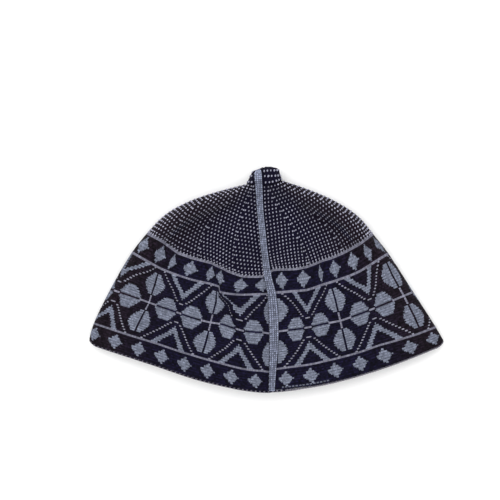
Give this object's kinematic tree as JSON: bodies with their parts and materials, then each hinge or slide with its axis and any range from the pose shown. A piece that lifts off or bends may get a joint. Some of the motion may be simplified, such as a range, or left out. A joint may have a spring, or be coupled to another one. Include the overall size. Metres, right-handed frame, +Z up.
{
  "type": "kofia, a knitted cap, lying folded flat",
  "caption": "Rimless knitted cap with a patterned wall, a dotted crown, a joining seam and a small knob, lying flat.",
  "frame": {"origin": "on the table under the middle of the lying cap's outline", "axes": "+Z up from the table, +Y from the rim towards the knob, +X across the cap to the right of the seam"},
  "size_m": [0.2716, 0.1726, 0.0295],
  "materials": {
    "navy_fabric": "matte double knit in navy with grey pattern",
    "grey_yarn": "matte knitted yarn in blue grey",
    "edge_yarn": "matte overlock yarn in light grey"
  },
  "bodies": {
    "root": {"knitted_shell": "navy_fabric", "top_knob": "navy_fabric", "joining_seam": "grey_yarn", "rim_edging": "edge_yarn"}
  },
  "joints": []
}
